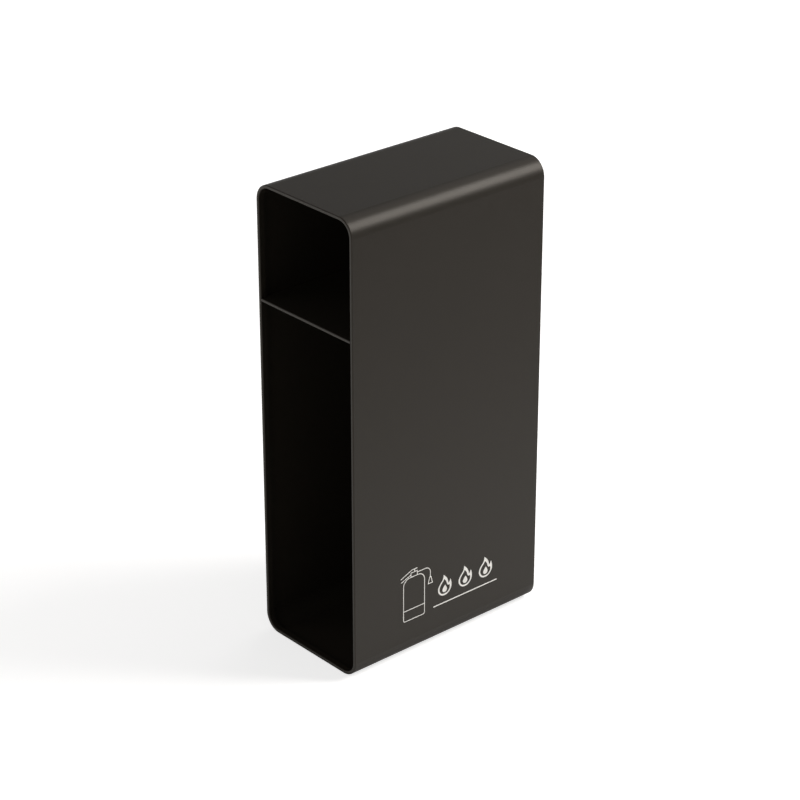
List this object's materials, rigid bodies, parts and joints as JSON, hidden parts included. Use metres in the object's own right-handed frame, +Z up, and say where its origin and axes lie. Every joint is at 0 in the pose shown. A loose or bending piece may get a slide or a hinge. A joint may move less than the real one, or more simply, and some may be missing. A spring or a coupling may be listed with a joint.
{
  "type": "fire extinguisher storage box",
  "caption": "Floor-standing storage box of bent sheet steel, open at the front, with rounded bends, a folded front edge, a closed back and a fixed shelf above a tall compartment.",
  "frame": {"origin": "on the floor, under the centre of the box, in the plane of the foot pads' undersides", "axes": "+Z up, the open front faces -Y, +X to the right of someone who looks into the opening"},
  "size_m": [0.2, 0.35, 0.7],
  "materials": {
    "powder_coat": "satin",
    "pad_rubber": "matte",
    "print_ink": "matte"
  },
  "bodies": {
    "root": {"sleeve": "powder_coat", "back_panel": "powder_coat", "shelf": "powder_coat", "foot_pad_front_left": "pad_rubber", "foot_pad_front_right": "pad_rubber", "foot_pad_rear_left": "pad_rubber", "foot_pad_rear_right": "pad_rubber"}
  },
  "joints": []
}
